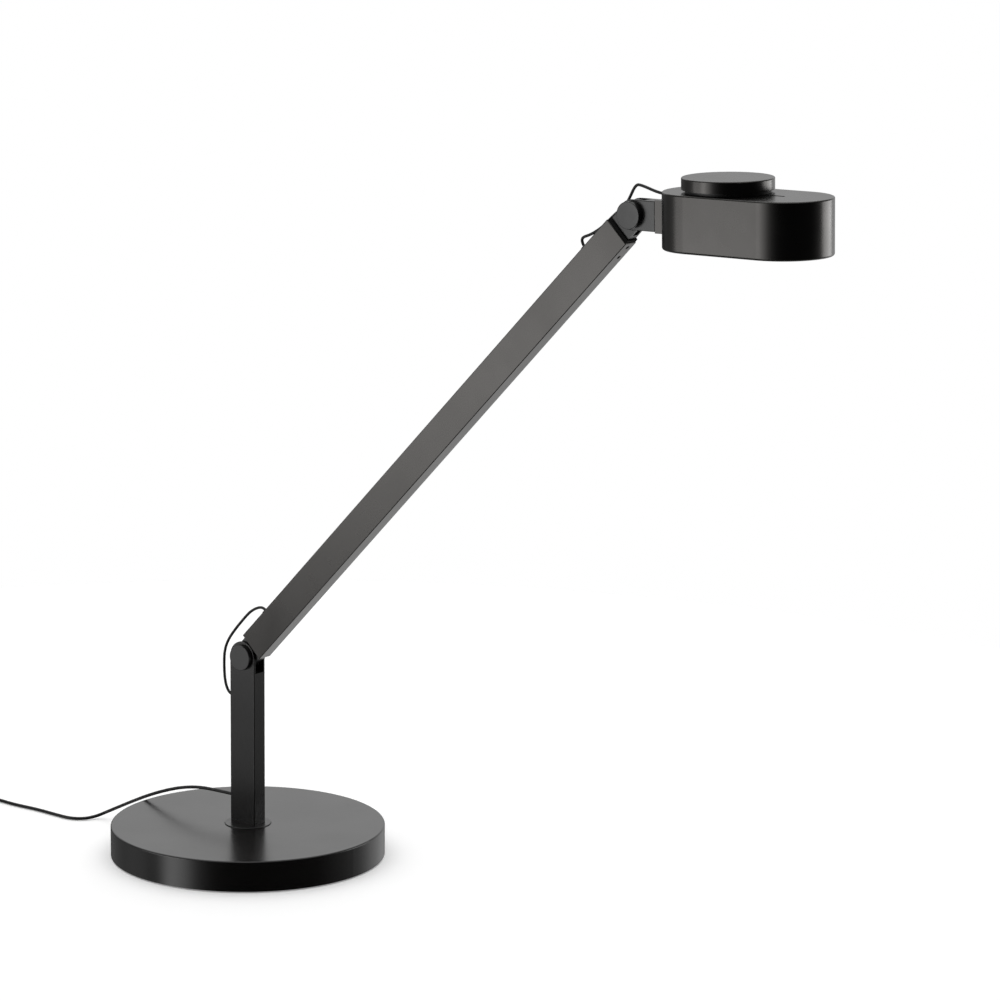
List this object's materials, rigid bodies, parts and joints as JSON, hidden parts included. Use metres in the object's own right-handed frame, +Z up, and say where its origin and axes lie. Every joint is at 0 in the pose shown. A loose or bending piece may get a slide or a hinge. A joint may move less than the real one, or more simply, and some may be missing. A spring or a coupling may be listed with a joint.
{
  "type": "desk lamp",
  "caption": "Slim jointed desk lamp: round weighted base with a turning post, straight flat arm, and an oval light head that pitches and rolls, with a sliding dimmer disc on top.",
  "frame": {"origin": "centre of the base's flat underside, where the lamp stands", "axes": "+Z up; +X level, from the post towards the light head; Y along the hinge pins"},
  "size_m": [0.8431, 0.221, 0.5341],
  "materials": {
    "black_paint": "satin powder coat",
    "black_anodised": "satin black anodised",
    "black_steel": "satin black steel",
    "steel": "plain machined steel",
    "iron": "raw casting",
    "bronze": "sintered bushing",
    "black_plastic": "matte moulded",
    "black_rubber": "matte",
    "cable_skin": "semi-matt cable sheath",
    "opal": "opal diffusing",
    "white_plastic": "white reflective",
    "board": "solder mask",
    "led": "phosphor",
    "bare_aluminium": "extruded",
    "pin_metal": "plated"
  },
  "bodies": {
    "base": {"base_cover": "black_paint", "base_weight": "iron", "base_plate": "steel", "base_screws": "steel", "base_pad": "black_rubber", "swivel_bush": "bronze", "lead": "cable_skin", "lead_coil": "cable_skin", "lead_tail": "cable_skin", "supply_body": "black_plastic", "supply_relief": "black_plastic", "supply_pins": "pin_metal"},
    "post": {"swivel_spindle": "black_steel", "swivel_washer": "steel", "swivel_nut": "steel", "post_bolt": "steel", "post_tube": "black_paint", "post_foot_plug": "steel", "post_slot_plug": "black_plastic", "lead_grommet": "black_plastic", "post_wire_grommet": "black_plastic", "lower_hinge_pin": "steel", "lower_hinge_caps": "black_steel", "post_wire": "cable_skin", "lower_loop": "cable_skin"},
    "arm": {"arm_tube": "black_anodised", "arm_lower_tongue": "black_steel", "arm_upper_tongue": "black_steel", "arm_screws": "steel", "arm_end_plate": "black_rubber", "arm_grommets": "black_plastic", "hinge_washers": "black_plastic", "arm_wire": "cable_skin", "upper_loop": "cable_skin"},
    "neck": {"neck_fork": "black_steel", "upper_hinge_pin": "steel", "upper_hinge_caps": "black_steel", "roll_pin": "steel", "roll_washer": "black_plastic", "roll_inner_washer": "steel", "roll_nut": "steel", "head_loop": "cable_skin"},
    "head": {"head_collar": "black_anodised", "head_housing": "black_anodised", "head_grommet": "black_plastic", "head_bezel": "black_plastic", "diffuser": "opal", "reflector": "white_plastic", "led_board": "board", "leds": "led", "heat_sink": "bare_aluminium", "driver_board": "board", "dimmer_rail": "black_plastic"},
    "dimmer": {"dimmer_carriage": "black_plastic", "dimmer_glide": "black_plastic", "dimmer_knob": "black_anodised"}
  },
  "joints": [
    {"name": "base_swivel", "type": "hinge", "parent": "base", "child": "post", "pos_m": [0, 0, 0.023], "axis": [0, 0, 1], "range_deg": [-165, 165], "deforming": ["lead"]},
    {"name": "arm_pitch", "type": "hinge", "parent": "post", "child": "arm", "pos_m": [0, 0, 0.1485], "axis": [0, -1, 0], "range_deg": [-41, 54], "deforming": ["lower_loop"]},
    {"name": "head_pitch", "type": "hinge", "parent": "arm", "child": "neck", "pos_m": [0.34177, 0, 0.50242], "axis": [0, -1, 0], "range_deg": [-45, 75], "deforming": ["upper_loop"]},
    {"name": "head_roll", "type": "hinge", "parent": "neck", "child": "head", "pos_m": [0.34177, 0, 0.50242], "axis": [0.9997, 0, 0.0262], "range_deg": [-90, 90], "deforming": ["head_loop"]},
    {"name": "dimmer_slide", "type": "slide", "parent": "head", "child": "dimmer", "axis": [0.9997, 0, 0.0262], "range_m": [-0.009, 0.04]}
  ]
}
